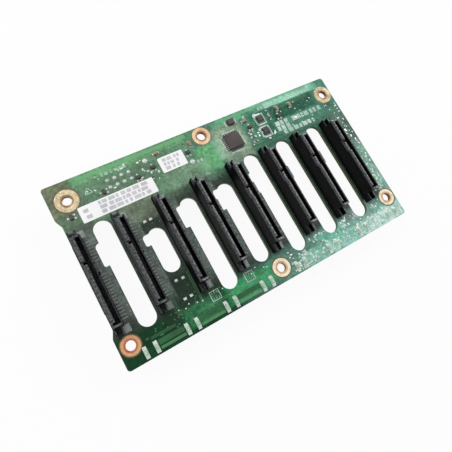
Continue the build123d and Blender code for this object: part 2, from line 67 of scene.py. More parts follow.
# Parts on the front face: the middle of each, and its turn in degrees
CHIP = (79.3, 63.0)
SMALL_CHIPS = [(96.0, 67.6), (95.7, 61.4)]
EMPTY_PLACES = [(40.4, 9.0), (56.2, 9.0)]
TRANSISTORS = [
    (20.8, 64.6, 90), (35.4, 64.6, 0), (42.5, 66.1, 0), (58.6, 66.2, 0),
    (89.6, 66.0, 0), (105.1, 65.7, 0), (5.9, 60.2, 90),
]
POWER_TRANSISTOR = (82.6, 71.4, 90)
CAPACITORS = [
    (106.1, 69.2, 90), (88.6, 69.6, 0), (46.2, 71.2, 0), (61.2, 69.2, 90), (112.9, 68.6, 90),
]
RESISTORS = [
    (88.8, 63.6, 0), (88.8, 61.2, 0), (88.8, 58.9, 0), (100.9, 69.4, 90), (100.9, 66.6, 90),
]
LIGHTS = [(x + dx, 3.0, 90) for x in BAY_X for dx in (3.7, 7.95)]

# What lies flat on the resist: the two labels, and the chip with its leads, corner to corner
LABEL_THICKNESS = 0.12
COVERED = [(9.0, 56.0, 40.2, 62.6), (45.5, 61.9, 56.7, 68.7), (74.6, 58.3, 84.0, 67.7)]

# Airflow cut-outs: left edges, lower edges and upper edges
CUT_X = [x + 6.03 for x in BAY_X[:-1]]
CUT_LENGTH = 7.17
CUT_LOW = [10.6, 24.3, 8.0, 11.4, 8.0, 8.0, 8.0]
CUT_HIGH = [55.0, 43.3, 49.0, 48.1, 54.9, 54.9, 54.9]
POCKET_DEPTH, POCKET_LOW, POCKET_HIGH = 1.9, 37.5, 47.2

# Thin layers: the plating and how far its middle stands out of the sheet, copper lines with the
# resist over them, screened ink, and the bare ring where the resist is drawn back from a land
PLATING, PROUD = 0.04, 0.03
COPPER, INK, BARE_RING = 0.022, 0.012, 0.014
RESIST_GAP = 0.5
LINE_WIDTH, LINE_PITCH = 0.3, 0.6

# Copper planes and bare glass cloth as they show through the resist, and painted light and shade:
# the middle and the half size of each field in layout millimetres, its colour and how much it
# covers
TINT_SHEEN_AND_SHADE_FIELDS = [
    # painted highlight: the pale fields along the top edge, at 36, 87 and 112 across
    (36, 73.4, 26, 2.2, "#72a978", 0.8), (3, 68, 7, 8, "#70735a", 0.75),
    (87, 73.2, 12, 1.9, "#6dbd95", 0.7), (112, 73.0, 17, 1.7, "#a2e6c6", 0.8),
    (66, 60.4, 4.6, 5.6, "#6cb37c", 0.9), (79, 62.5, 7, 9, "#9bb097", 0.85),
    (114, 67.4, 13, 3.6, "#0f4d39", 0.9), (96, 65, 5, 9, "#235d47", 0.7),
    (111, 55.8, 25, 1.6, "#2f5344", 0.7), (130, 60, 4, 4, "#37705d", 0.8),
    (55, 57.5, 10, 4, "#84a487", 0.6), (8, 52.5, 4, 4, "#4c5850", 0.7),
    # the first field here, at 29, 15: darker low down between the receptacles, partly painted shade
    # of the receptacles
    (29, 15, 10, 8, "#213829", 0.8), (29, 52, 8, 5, "#7a8470", 0.7),
    # painted sheen: the pale fields along the lower edge, at 88, 104, 121 and 131 across
    (6.5, 58, 6, 4, "#5a6d59", 0.6), (88, 3, 8, 3.2, "#93c8b5", 0.6),
    (104, 3, 9, 3.2, "#a3dccb", 0.7), (121, 3, 9, 3.2, "#cdefe5", 0.7),
    (131, 3.5, 5, 4, "#bfdbd2", 0.6), (96, 7.5, 7, 2.5, "#62b499", 0.5),
    (82, 9.5, 7, 3, "#557c6d", 0.7), (56, 6, 12, 4, "#3ea268", 0.7),
    # painted sheen: the pale field at 114, 11, and the two along the right edge, at 132.5 and 133.4
    # across
    (114, 11, 7, 3, "#93a6a4", 0.6), (132.5, 36, 3.5, 24, "#5b766c", 0.75),
    (133.4, 25, 3, 15, "#8fbcac", 0.85), (8.4, 47, 2.7, 9, "#565b56", 0.8),
    (34, 6, 8, 4, "#3f8f60", 0.5), (72.4, 62, 2.5, 5, "#9ac8a6", 0.6),
    (79, 55.4, 6, 2, "#6c8874", 0.6),
]
# The shaded strips beside the receptacles, where dust greys the resist
TINT_SHEEN_AND_SHADE_FIELDS += [(x + 3.6, BAY_Y, 2.3, 17.5, "#78847d", 0.85) for x in BAY_X]
# A field covers fully up to the first of these shares of its half size, and is gone at the second
FIELD_FULL, FIELD_GONE = 0.8, 1.15

# The resist's green at the left and at the right of the board, in three bands from the lower edge
# up, and the places in the frame, in millimetres, between which one gives way to the next. The
# pale teal towards the right, most in the lowest band, is a painted sheen
BANDS = [("#0c3a1f", "#82b5a6"), ("#3f4a41", "#2e4138"), ("#64856a", "#4a846f")]
BAND_RISES = [(2, 6), (42, 48)]
BAND_TURN = (40, 95)


def place(x, y, z=0.0):
    """A layout place, as a point of the frame in metres; z is the height above the front face."""
    return Vector(((x - CORNER_X) * MM, (y - CORNER_Y) * MM, (z + BOARD_THICKNESS) * MM))


# Materials. A pattern's scale is how many of its cells go in a millimetre, over MM, and beside it
# stands the real size it draws. A wave comes 3.2 times as often as its scale says.


def linear(colour):
    """An sRGB hex colour as linear red, green, blue and alpha."""
    parts = [int(colour[i:i + 2], 16) / 255 for i in (1, 3, 5)]
    return [c / 12.92 if c <= 0.04045 else ((c + 0.055) / 1.055) ** 2.4 for c in parts] + [1.0]


def add(material, kind, inputs=None, **settings):
    """Adds one node with its settings; each input is a value, another node or a node's output.

    A node given as an input stands for its first output that is in use.
    """
    made = material.node_tree.nodes.new("ShaderNode" + kind)
    for name, value in settings.items():
        setattr(made, name, value)
    for name, value in (inputs or {}).items():
        if isinstance(value, bpy.types.Node):
            value = next(each for each in value.outputs if each.enabled)
        if isinstance(value, bpy.types.NodeSocket):
            material.node_tree.links.new(value, made.inputs[name])
        else:
            made.inputs[name].default_value = value
    return made


def blank(name):
    """A new material with an empty node tree."""
    material = bpy.data.materials.new(name)
    material.use_nodes = True
    material.node_tree.nodes.clear()
    return material


def surface(material, inputs):
    """The material's one shader, with its inputs, joined to the output."""
    shader = add(material, "BsdfPrincipled", inputs)
    add(material, "OutputMaterial", {"Surface": shader})
    return material


def resist_tone_and_sheen(m, coords):
    """The resist's green, changing softly along and up the board, with painted sheen at the right.
    """
    axes = add(m, "SeparateXYZ", {0: coords}).outputs
    # towards the right the lowest band turns pale teal, which is a painted sheen
    along = add(m, "MapRange", {
        "Value": axes["X"], "From Min": BAND_TURN[0] * MM, "From Max": BAND_TURN[1] * MM,
    })
    bands = [add(m, "Mix", {
        "Factor": along, "A": linear(left), "B": linear(right),
    }, data_type="RGBA") for left, right in BANDS]
    tone = bands[0]
    for band, (low, high) in zip(bands[1:], BAND_RISES):
        rise = add(m, "MapRange", {"Value": axes["Y"], "From Min": low * MM, "From Max": high * MM})
        tone = add(m, "Mix", {"Factor": rise, "A": tone, "B": band}, data_type="RGBA")
    return tone


def with_soft_fields(m, coords, tone):
    """The tone with each field of TINT_SHEEN_AND_SHADE_FIELDS over it, fading out at the field's rim."""
    for x, y, half_x, half_y, colour, cover in TINT_SHEEN_AND_SHADE_FIELDS:
        scale = (1 / (half_x * MM), 1 / (half_y * MM), 0)
        middle = place(x, y)
        shift = (-middle.x * scale[0], -middle.y * scale[1], 0)
        away = add(m, "VectorMath", {0: coords, 1: scale, 2: shift}, operation="MULTIPLY_ADD")
        away = add(m, "VectorMath", {0: away}, operation="ABSOLUTE")
        away = add(m, "SeparateXYZ", {0: away}).outputs
        far = add(m, "Math", {0: away["X"], 1: away["Y"]}, operation="MAXIMUM")
        share = add(m, "MapRange", {
            "Value": far, "From Min": FIELD_GONE, "From Max": FIELD_FULL, "To Max": cover,
        })
        tone = add(m, "Mix", {"Factor": share, "A": tone, "B": linear(colour)}, data_type="RGBA")
    return tone


def with_cut_edges(m, coords, colour):
    """The colour, but cut faces are bare glass-epoxy: layered, dull green, darkened as painted
    shade.
    """
    # layers of cloth, 0.25 mm apart
    layer = add(m, "TexWave", {
        "Vector": coords, "Scale": 1.25 / MM,
    }, bands_direction="Z").outputs["Fac"]
    # the greens of the cut faces are darkened as painted shade
    edge = add(m, "Mix", {
        "Factor": layer, "A": linear("#3f4d33"), "B": linear("#66704c"),
    }, data_type="RGBA")
    rise = add(m, "SeparateXYZ", {0: add(m, "NewGeometry").outputs["Normal"]}).outputs["Z"]
    steep = add(m, "Math", {0: rise}, operation="ABSOLUTE")
    flat = add(m, "Math", {0: steep, 1: 0.5}, operation="GREATER_THAN")
    return add(m, "Mix", {"Factor": flat, "A": edge, "B": colour}, data_type="RGBA")


def solder_resist(name, copper=0.0):
    """Green liquid resist: glossy, faintly rippled, and paler where copper lies under it.

    Planes and bare glass cloth show through as soft fields, the cloth itself as a fine crossed
    weave. With copper given it is the skin of lines or pours, and without it the sheet's, whose
    cut edges are bare.
    """
    m = blank(name)
    coords = add(m, "TexCoord").outputs["Object"]
    tone = with_soft_fields(m, coords, resist_tone_and_sheen(m, coords))

    # copper areas of 3.7 mm, and pads and lines under the resist of about 1.1 mm
    areas = add(m, "TexVoronoi", {
        "Vector": coords, "Scale": 0.27 / MM,
    }, distance="CHEBYCHEV").outputs["Color"]
    area = add(m, "SeparateColor", {0: areas})
    area = add(m, "MapRange", {"Value": area, "To Min": 0.8, "To Max": 1.18})
    fine = add(m, "TexNoise", {"Vector": coords, "Scale": 0.9 / MM, "Detail": 2.0})
    small = add(m, "MapRange", {
        "Value": fine, "From Min": 0.3, "From Max": 0.7, "To Min": 0.72, "To Max": 1.3,
    })

    # the cloth's threads lie 0.5 mm apart, and are drawn 0.95 mm apart so that they show
    warp, weft = (add(m, "TexWave", {
        "Vector": coords, "Scale": 0.33 / MM, "Distortion": 0.4,
    }, bands_direction=axis).outputs["Fac"] for axis in "XY")
    weave = add(m, "Math", {0: warp, 1: weft}, operation="MULTIPLY")
    shade = add(m, "MapRange", {"Value": weave, "To Min": 0.93, "To Max": 1.07})
    for part in (area, small):
        shade = add(m, "Math", {0: shade, 1: part}, operation="MULTIPLY")
    grey = add(m, "CombineColor", {"Red": shade, "Green": shade, "Blue": shade})
    colour = add(m, "Mix", {
        "Factor": 1.0, "A": tone, "B": grey,
    }, data_type="RGBA", blend_type="MULTIPLY")

    if copper:
        colour = add(m, "Mix", {
            "Factor": copper, "A": colour, "B": linear("#74b07e"),
        }, data_type="RGBA")
    else:
        colour = with_cut_edges(m, coords, colour)
    height = add(m, "Math", {0: weave, 1: fine}, operation="ADD")
    bump = add(m, "Bump", {"Strength": 0.35, "Distance": 0.04 * MM, "Height": height})
    rough = add(m, "MapRange", {"Value": fine, "To Min": 0.5, "To Max": 0.34})
    return surface(m, {
        "Base Color": colour, "Roughness": rough, "Normal": bump,
        "IOR": 1.5, "Specular IOR Level": 0.13,
    })


def mottled(name, light, dark, grain_mm, rough, depth_mm=0.01, **fixed):
    """One finish that varies softly between two colours, with a grain of a real size.

    A real grain under about 0.1 mm is drawn at the size given, which is as fine as still shows.
    """
    m = blank(name)
    coords = add(m, "TexCoord").outputs["Object"]
    grain = add(m, "TexNoise", {
        "Vector": coords, "Scale": 1 / (grain_mm * MM), "Detail": 3.0, "Roughness": 0.55,
    })
    # slow changes over about 8 mm
    broad = add(m, "TexNoise", {"Vector": coords, "Scale": 0.12 / MM, "Detail": 2.0})
    both = add(m, "Math", {0: grain, 1: broad}, operation="ADD")
    share = add(m, "MapRange", {"Value": both, "From Min": 0.7, "From Max": 1.3})
    colour = add(m, "Mix", {
        "Factor": share, "A": linear(dark), "B": linear(light),
    }, data_type="RGBA")
    gloss = add(m, "MapRange", {"Value": share, "To Min": rough[1], "To Max": rough[0]})
    bump = add(m, "Bump", {"Strength": 0.5, "Distance": depth_mm * MM, "Height": grain})
    return surface(m, {"Base Color": colour, "Roughness": gloss, "Normal": bump, **fixed})


def deep_resist():
    """Resist over bare dark cloth between planes: a deep, saturated green."""
    return mottled("resist_over_dark_cloth", "#0d5f29", "#032f12", 0.9, (0.32, 0.45), IOR=1.5)


def top_highlight(m, coords, normal):
    """How much painted grey highlight a receptacle's top gets, where it faces up and most where it
    stands highest.

    The thick wall left of the slot is greyer towards the slot, the more so to the right of the
    board, and the thin wall right of the slot is a little less grey than the slot's left rim.
    """
    facing = add(m, "SeparateXYZ", {0: normal}).outputs["Z"]
    upward = add(m, "MapRange", {"Value": facing, "From Min": 0.6, "From Max": 0.95})
    axes = add(m, "SeparateXYZ", {0: coords}).outputs
    raised = add(m, "MapRange", {
        "Value": axes["Z"], "From Min": 8.5 * MM, "From Max": 9.7 * MM, "To Min": 0.6,
    })
    top = add(m, "Math", {0: upward, 1: raised}, operation="MULTIPLY")

    # the place across the nearest receptacle, as a share of the bay pitch, with the middle at 0.5
    start = (CORNER_X - BAY_X[0]) / BAY_PITCH + 0.5
    bays = add(m, "Math", {
        0: axes["X"], 1: 1 / (BAY_PITCH * MM), 2: start,
    }, operation="MULTIPLY_ADD")
    across = add(m, "Math", {0: bays}, operation="FRACT")
    outer, inner = (add(m, "MapRange", {
        "Value": axes["X"], "From Min": 10 * MM, "From Max": 50 * MM,
        "To Min": left, "To Max": right,
    }) for left, right in ((0.34, 0.25), (0.42, 1.3)))
    thick = add(m, "MapRange", {
        "Value": across, "From Min": 0.5 - 1.7 / BAY_PITCH, "From Max": 0.5 - 0.9 / BAY_PITCH,
        "To Min": outer, "To Max": inner,
    })
    thin = add(m, "MapRange", {
        "Value": across, "From Min": 0.5 + 0.3 / BAY_PITCH, "From Max": 0.5 + 0.6 / BAY_PITCH,
        "To Min": 1.0, "To Max": 0.62,
    })
    walls = add(m, "Math", {0: thick, 1: thin}, operation="MULTIPLY")
    return add(m, "Math", {0: top, 1: walls}, operation="MULTIPLY")


def receptacle_moulding():
    """Glass-filled LCP, moulded: black, satin sides; its top and rims get a painted grey highlight.
    """
    m = blank("moulded_lcp")
    coords = add(m, "TexCoord").outputs["Object"]
    # fibres of 0.2 mm, drawn as grains of 0.8 mm so that they show, and flow marks of about 4 mm
    fibre = add(m, "TexNoise", {"Vector": coords, "Scale": 1.3 / MM, "Detail": 3.0})
    broad = add(m, "TexNoise", {"Vector": coords, "Scale": 0.26 / MM, "Detail": 2.0})
    rounded = add(m, "Bevel", {"Radius": 0.2 * MM}, samples=4)
    true = add(m, "NewGeometry").outputs["Normal"]
    turn = add(m, "VectorMath", {0: rounded, 1: true}, operation="DOT_PRODUCT").outputs["Value"]
    # a painted highlight: the rounded edges are mixed towards a lighter grey
    rim = add(m, "MapRange", {"Value": turn, "From Min": 0.995, "From Max": 0.9, "To Max": 0.45})
    black = add(m, "Mix", {
        "Factor": broad, "A": linear("#020203"), "B": linear("#070709"),
    }, data_type="RGBA")
    # the grey of the painted highlight on the tops, speckled by the fibres
    rub = add(m, "MapRange", {"Value": fibre, "From Min": 0.3, "From Max": 0.7})
    worn = add(m, "Mix", {
        "Factor": rub, "A": linear("#3c3e40"), "B": linear("#b0b3b7"),
    }, data_type="RGBA")
    colour = add(m, "Mix", {
        "Factor": top_highlight(m, coords, true), "A": black, "B": worn,
    }, data_type="RGBA")
    colour = add(m, "Mix", {"Factor": rim, "A": colour, "B": linear("#505359")}, data_type="RGBA")
    bump = add(m, "Bump", {
        "Strength": 0.4, "Distance": 0.03 * MM, "Height": fibre, "Normal": rounded,
    })
    gloss = add(m, "MapRange", {"Value": broad, "To Min": 0.62, "To Max": 0.5})
    return surface(m, {
        "Base Color": colour, "Roughness": gloss, "Normal": bump,
        "IOR": 1.6, "Specular IOR Level": 0.045,
    })


def contact_strip_metal():
    """Spring copper strip: hard gold where the drive's pads rub, matte tin on soldered tails."""
    m = blank("gold_and_tin_plated_strip")
    coords = add(m, "TexCoord").outputs["Object"]
    height = add(m, "SeparateXYZ", {0: coords}).outputs["Z"]
    # the plating's grain of 0.05 mm, drawn as 0.25 mm so that it shows
    grain = add(m, "TexNoise", {"Vector": coords, "Scale": 4 / MM, "Detail": 2.0})
    share = add(m, "MapRange", {"Value": height, "From Min": 2.3 * MM, "From Max": 2.7 * MM})
    tin, gold = (add(m, "Mix", {
        "Factor": grain, "A": linear(dark), "B": linear(light),
    }, data_type="RGBA") for dark, light in (
        ("#6a716e", "#9ca3a0"), ("#b98f45", "#e3bf74")))
    colour = add(m, "Mix", {"Factor": share, "A": tin, "B": gold}, data_type="RGBA")
    gloss = add(m, "MapRange", {"Value": share, "To Min": 0.45, "To Max": 0.3})
    bump = add(m, "Bump", {"Strength": 0.3, "Distance": 0.01 * MM, "Height": grain})
    return surface(m, {"Base Color": colour, "Metallic": 1.0, "Roughness": gloss, "Normal": bump})


def land_plating(name, flat_light, flat_dark, barrel):
    """Plating on a wide copper land: bright on the flat, and painted brown as shade down the hole.

    The lands high on the board are painted darker than the low ones, as painted shade and light.
    """
    m = blank(name)
    coords = add(m, "TexCoord").outputs["Object"]
    # the etched copper's grain of 0.1 mm, drawn as 0.7 mm so that it shows, and stains of 3 mm
    grain = add(m, "TexNoise", {"Vector": coords, "Scale": 1.5 / MM, "Detail": 3.0})
    broad = add(m, "TexNoise", {"Vector": coords, "Scale": 0.33 / MM, "Detail": 2.0})
    both = add(m, "Math", {0: grain, 1: broad}, operation="ADD")
    # painted shade and light: the lands are darker up the board and lighter low down
    up_board = add(m, "SeparateXYZ", {0: coords}).outputs["Y"]
    age = add(m, "MapRange", {
        "Value": up_board, "From Min": 10 * MM, "From Max": 55 * MM,
        "To Min": -0.25, "To Max": 0.09,
    })
    both = add(m, "Math", {0: both, 1: age}, operation="SUBTRACT")
    share = add(m, "MapRange", {"Value": both, "From Min": 0.75, "From Max": 1.25})
    face = add(m, "Mix", {
        "Factor": share, "A": linear(flat_dark), "B": linear(flat_light),
    }, data_type="RGBA")
    # the hole's steep wall takes the barrel colour, a painted shade in the hole
    rise = add(m, "SeparateXYZ", {0: add(m, "NewGeometry").outputs["Normal"]}).outputs["Z"]
    steep = add(m, "Math", {0: rise}, operation="ABSOLUTE")
    flat = add(m, "MapRange", {"Value": steep, "From Min": 0.3, "From Max": 0.8})
    colour = add(m, "Mix", {"Factor": flat, "A": linear(barrel), "B": face}, data_type="RGBA")
    gloss = add(m, "MapRange", {"Value": share, "To Min": 0.68, "To Max": 0.52})
    bump = add(m, "Bump", {"Strength": 0.4, "Distance": 0.012 * MM, "Height": grain})
    return surface(m, {
        "Base Color": colour, "Metallic": 0.25, "Roughness": gloss, "Normal": bump,
        "Specular IOR Level": 0.3,
    })


def immersion_gold():
    """Gold flash on nickel: pale cream, with its barrel painted brown as shade."""
    return land_plating("immersion_gold", "#eee4c8", "#bba982", "#7d5234")


def thin_gold():
    """A land whose gold is nearly through: the copper below warms it to a pale orange."""
    return land_plating("thin_gold_land", "#f6deba", "#dcb38e", "#8a4e30")


def bare_copper():
    """A land whose gold has worn away: orange copper, its barrel painted deeper orange as shade."""
    return land_plating("worn_copper_land", "#d2a377", "#b2744e", "#b8663f")


def rubbed_gold():
    """The ring under a screw's head, where the gold has rubbed to tan."""
    return land_plating("rubbed_gold", "#c9a680", "#8c6a48", "#5f3a22")


def rubbed_copper():
    """The ring under a screw's head on the worn land: redder copper, burnished dark."""
    return land_plating("rubbed_copper", "#bd6c4d", "#8f4a32", "#7d3b26")


def tin_plating():
    """Matte tin over stamped brass: light grey, with soft cloudy gloss."""
    return mottled("matte_tin", "#8a908d", "#5f6663", 0.25, (0.34, 0.5), 0.005, Metallic=1.0)


def tin_solder():
    """Lead-free solder that froze with a slightly frosted skin: silvery and a little wavy."""
    return mottled(
        "lead_free_solder", "#e2e6e2", "#b4bab6", 0.3, (0.36, 0.5), 0.012, Metallic=0.45)


def header_solder():
    """Wave-soldered joints with flux residue on them: pale grey with a green cast."""
    return mottled(
        "flux_dulled_solder", "#c3cec5", "#8d9a90", 0.3, (0.4, 0.55), 0.012, Metallic=0.4)


def dull_solder():
    """Solder and tinned copper that have greyed with age, in the shade of the receptacles."""
    return mottled("greyed_solder", "#87908b", "#636d67", 0.3, (0.42, 0.58), 0.012, Metallic=0.5)


def plated_steel():
    """Nickel-plated spring steel, drawn from strip: fine straight lines along its length."""
    m = blank("nickel_plated_steel")
    coords = add(m, "TexCoord").outputs["Object"]
    # lines 8 mm long and 0.11 mm apart, and slow changes over about 7 mm
    drawn = add(m, "Mapping", {"Vector": coords, "Scale": (0.12 / MM, 9 / MM, 9 / MM)})
    lines = add(m, "TexNoise", {"Vector": drawn, "Scale": 1.0, "Detail": 3.0})
    broad = add(m, "TexNoise", {"Vector": coords, "Scale": 0.15 / MM})
    colour = add(m, "Mix", {
        "Factor": lines, "A": linear("#8f918f"), "B": linear("#cfd0ce"),
    }, data_type="RGBA")
    gloss = add(m, "MapRange", {"Value": broad, "To Min": 0.24, "To Max": 0.42})
    bump = add(m, "Bump", {"Strength": 0.25, "Distance": 0.01 * MM, "Height": lines})
    return surface(m, {"Base Color": colour, "Metallic": 1.0, "Roughness": gloss, "Normal": bump})


def label_film():
    """Coated white polyester label: smooth, with the faintest fibre and a slight sheen."""
    return mottled("coated_label_film", "#ffffff", "#f7f7f9", 0.4, (0.42, 0.55), 0.004, IOR=1.5)


def label_ink():
    """Thermal print on the label: soft neutral grey, uneven where the head pressed less."""
    return mottled("thermal_print", "#d6d5da", "#b9b8bf", 0.3, (0.55, 0.65), 0.002)


def moulded_epoxy():
    """Epoxy moulding compound: dark brown-grey, matte, with the speckle of its silica filler."""
    return mottled(
        "epoxy_moulding_compound", "#463a3a", "#2a2224", 0.12, (0.55, 0.66), 0.008, IOR=1.55)


def capacitor_ceramic():
    """Fired barium titanate: tan with a smooth, slightly waxy skin."""
    return mottled(
        "fired_capacitor_ceramic", "#a98a63", "#856845", 0.2, (0.4, 0.52), 0.004, IOR=1.6)


def resistor_glaze():
    """Overglaze on an alumina chip: glossy black with small pinholes."""
    return mottled(
        "resistor_overglaze", "#232427", "#121315", 0.15, (0.28, 0.42), 0.005, IOR=1.55)


def clear_resin():
    """Milky clear resin window, tinted by the board below it, on a pale moulded base."""
    m = blank("milky_lens_resin")
    coords = add(m, "TexCoord").outputs["Object"]
    height = add(m, "SeparateXYZ", {0: coords}).outputs["Z"]
    window = add(m, "MapRange", {"Value": height, "From Min": 2.12 * MM, "From Max": 2.18 * MM})
    # milky clouds of about 1 mm
    grain = add(m, "TexNoise", {"Vector": coords, "Scale": 0.9 / MM, "Detail": 2.0})
    base, milky = (add(m, "Mix", {
        "Factor": grain, "A": linear(dark), "B": linear(light),
    }, data_type="RGBA") for dark, light in (
        ("#b9cdbc", "#eef6ee"), ("#6f9f7d", "#d9eedb")))
    colour = add(m, "Mix", {"Factor": window, "A": base, "B": milky}, data_type="RGBA")
    bump = add(m, "Bump", {"Strength": 0.2, "Distance": 0.02 * MM, "Height": grain})
    gloss = add(m, "MapRange", {"Value": window, "To Min": 0.5, "To Max": 0.2})
    return surface(m, {
        "Base Color": colour, "Roughness": gloss, "Normal": bump, "IOR": 1.5,
        "Subsurface Weight": 0.25, "Subsurface Radius": (0.6 * MM, 0.8 * MM, 0.6 * MM),
        "Subsurface Scale": 1.0,
    })


def header_nylon():
    """Black nylon, moulded in a lightly sparked tool: satin, with a fine even texture."""
    return mottled("moulded_nylon", "#232428", "#15161a", 0.18, (0.44, 0.56), 0.012, IOR=1.53)


def insulator_lcp():
    """Black LCP insulator: smooth and dark, with pale flow marks."""
    return mottled("moulded_insulator", "#2a2b2f", "#141519", 0.35, (0.4, 0.52), 0.006, IOR=1.6)


def screen_ink():
    """White epoxy ink, screen printed: slightly thin, so the green tints it in places."""
    return mottled("screened_ink", "#cddfd5", "#7aaa94", 0.35, (0.5, 0.6), 0.003, IOR=1.5)


def bare_laminate():
    """Glass-epoxy where the resist stops short of a land: a dull brown ring."""
    return mottled("bare_laminate_ring", "#6f5a36", "#3f3320", 0.3, (0.5, 0.62), 0.006, IOR=1.5)


# Modelling


def select_only(*objects):
    """Selects these objects and nothing else; the first one is the active one."""
    bpy.ops.object.select_all(action="DESELECT")
    for each in objects:
        each.select_set(True)
    bpy.context.view_layer.objects.active = objects[0]


def finish_shape(name):
    """Names the new object and puts its place, turn and size into its mesh."""
    shape = bpy.context.view_layer.objects.active
    shape.name = shape.data.name = name
    select_only(shape)
    bpy.ops.object.transform_apply(location=True, rotation=True, scale=True)
    return shape


def use_modifier(shape, kind, **settings):
    """Adds a modifier with its settings and applies it."""
    modifier = shape.modifiers.new(kind.lower(), kind)
    for name, value in settings.items():
        setattr(modifier, name, value)
    select_only(shape)
    bpy.ops.object.modifier_apply(modifier=modifier.name)


def block(name, length, width, height, top_share=1.0, soften=0.0):
    """A low block on the front face at the origin: its top may be smaller, its edges eased."""
    bpy.ops.object.select_all(action="DESELECT")
    bpy.ops.mesh.primitive_cube_add(size=1, location=(0, 0, 0))
    shape = bpy.context.view_layer.objects.active
    bpy.ops.object.mode_set(mode="EDIT")
    bpy.ops.transform.resize(value=(length * MM, width * MM, height * MM))
    bpy.ops.transform.translate(value=(0, 0, (height / 2 + BOARD_THICKNESS) * MM))
    bpy.ops.mesh.select_all(action="DESELECT")
    bpy.ops.object.mode_set(mode="OBJECT")
    top = max(v.co.z for v in shape.data.vertices)
    for face in shape.data.polygons:
        face.select = all(shape.data.vertices[i].co.z > top - 1e-7 for i in face.vertices)
    bpy.ops.object.mode_set(mode="EDIT")
    bpy.ops.transform.resize(value=(top_share, top_share, 1))
    bpy.ops.object.mode_set(mode="OBJECT")
    shape = finish_shape(name)
    if soften:
        use_modifier(
            shape, "BEVEL", width=soften * MM, segments=1, limit_method="ANGLE",
            angle_limit=math.radians(25))
    return shape


def repeat(name, shape, places):
    """Copies a shape to each layout place and turn, each with its own mesh, as one piece."""
    copies = []
    for x, y, turn in places:
        copy = shape.copy()
        copy.data = shape.data.copy()
        bpy.context.collection.objects.link(copy)
        turning = Matrix.Rotation(math.radians(turn), 4, "Z")
        copy.matrix_world = Matrix.Translation(place(x, y, -BOARD_THICKNESS)) @ turning
        copies.append(copy)
    bpy.data.objects.remove(shape)
    select_only(*copies)
    if len(copies) > 1:
        bpy.ops.object.join()
    return finish_shape(name)


def start_circle(sides, radius, where, **settings):
    """Adds a circle and starts to edit it, with all of it selected."""
    bpy.ops.object.select_all(action="DESELECT")
    bpy.ops.mesh.primitive_circle_add(
        vertices=sides, radius=radius * MM, location=where, **settings)
    bpy.ops.object.mode_set(mode="EDIT")
    bpy.ops.mesh.select_all(action="SELECT")


def extrude_up(height):
    """Extrudes what is selected along Z, by millimetres."""
    bpy.ops.mesh.extrude_region_move(TRANSFORM_OT_translate={"value": (0, 0, height * MM)})


def face_outward():
    """Turns all faces of the mesh that is being edited outward, and ends the editing."""
    bpy.ops.mesh.select_all(action="SELECT")
    bpy.ops.mesh.normals_make_consistent(inside=False)
    bpy.ops.object.mode_set(mode="OBJECT")


def to_rear(shape):
    """Turns a front-face piece over to the rear face, mirrored through the sheet's middle."""
    select_only(shape)
    bpy.ops.object.mode_set(mode="EDIT")
    bpy.ops.mesh.select_all(action="SELECT")
    bpy.ops.transform.mirror(
        constraint_axis=(False, False, True), orient_type="GLOBAL",
        center_override=(0, 0, BOARD_THICKNESS * MM / 2),
    )
    face_outward()
    return shape


def plated_land(name, x, y, radius):
    """A land on both faces and the barrel between them, drawn as one ring of plating."""
    start_circle(56, radius, place(x, y, PROUD))
    share = (HOLE_RADIUS - PLATING) / radius
    bpy.ops.mesh.extrude_region_move()
    bpy.ops.transform.resize(value=(share, share, 1))
    extrude_up(-(BOARD_THICKNESS + 2 * PROUD))
    bpy.ops.mesh.extrude_region_move()
    bpy.ops.transform.resize(value=(1 / share, 1 / share, 1))
    face_outward()
    shape = finish_shape(name)
    use_modifier(shape, "SOLIDIFY", thickness=PLATING * MM, offset=0)
    use_modifier(shape, "BEVEL", width=0.015 * MM, segments=1, limit_method="ANGLE")
    return shape


def ring(name, x, y, outer, inner, height):
    """A flat ring on the front face."""
    start_circle(40, outer, place(x, y))
    bpy.ops.mesh.extrude_region_move()
    bpy.ops.transform.resize(value=(inner / outer, inner / outer, 1))
    bpy.ops.mesh.select_all(action="SELECT")
    extrude_up(height)
    face_outward()
    return finish_shape(name)


def dome(name, radius, waist, height, steps=4, sides=20):
    """A solder joint: a wide foot that sweeps up to a narrow rounded top."""
    start_circle(sides, radius, (0, 0, BOARD_THICKNESS * MM), fill_type="NGON")
    last = radius
    for i in range(1, steps + 1):
        share = i / steps
        wide = waist + (radius - waist) * (1 - share) ** 2
        extrude_up(height / steps)
        bpy.ops.transform.resize(value=(wide / last, wide / last, 1))
        last = wide
    # a low cap, about half as wide as the waist
    extrude_up(0.12 * height)
    bpy.ops.transform.resize(value=(0.55, 0.55, 1))
    face_outward()
    bpy.ops.object.shade_smooth_by_angle(angle=math.radians(50))
    return finish_shape(name)


def ribbons(name, paths, width, height):
    """Flat printed or etched lines on the front face, each along its layout points."""
    curve = bpy.data.curves.new(name, "CURVE")
    curve.dimensions = "3D"
    curve.bevel_depth = width / 2 * MM
    curve.bevel_resolution = 0
    curve.use_fill_caps = True
    for path in paths:
        line = curve.splines.new("POLY")
        line.points.add(len(path) - 1)
        for point, (x, y) in zip(line.points, path):
            point.co = (*place(x, y)[:2], 0, 1)
    shape = bpy.data.objects.new(name, curve)
    bpy.context.collection.objects.link(shape)
    select_only(shape)
    bpy.ops.object.convert(target="MESH")
    bpy.ops.object.mode_set(mode="EDIT")
    bpy.ops.mesh.select_all(action="SELECT")
    bpy.ops.transform.resize(value=(1, 1, 2 * height / width), center_override=(0, 0, 0))
    bpy.ops.transform.translate(value=(0, 0, BOARD_THICKNESS * MM))
    bpy.ops.object.mode_set(mode="OBJECT")
    bpy.ops.object.shade_flat()
    return finish_shape(name)


def carry(piece, material):
    """Gives a finished piece its material, its body and the record's material slot."""
    piece.data.materials.clear()
    piece.data.materials.append(material)
    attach(piece, "root")
    return piece


# Places and paths on the layout


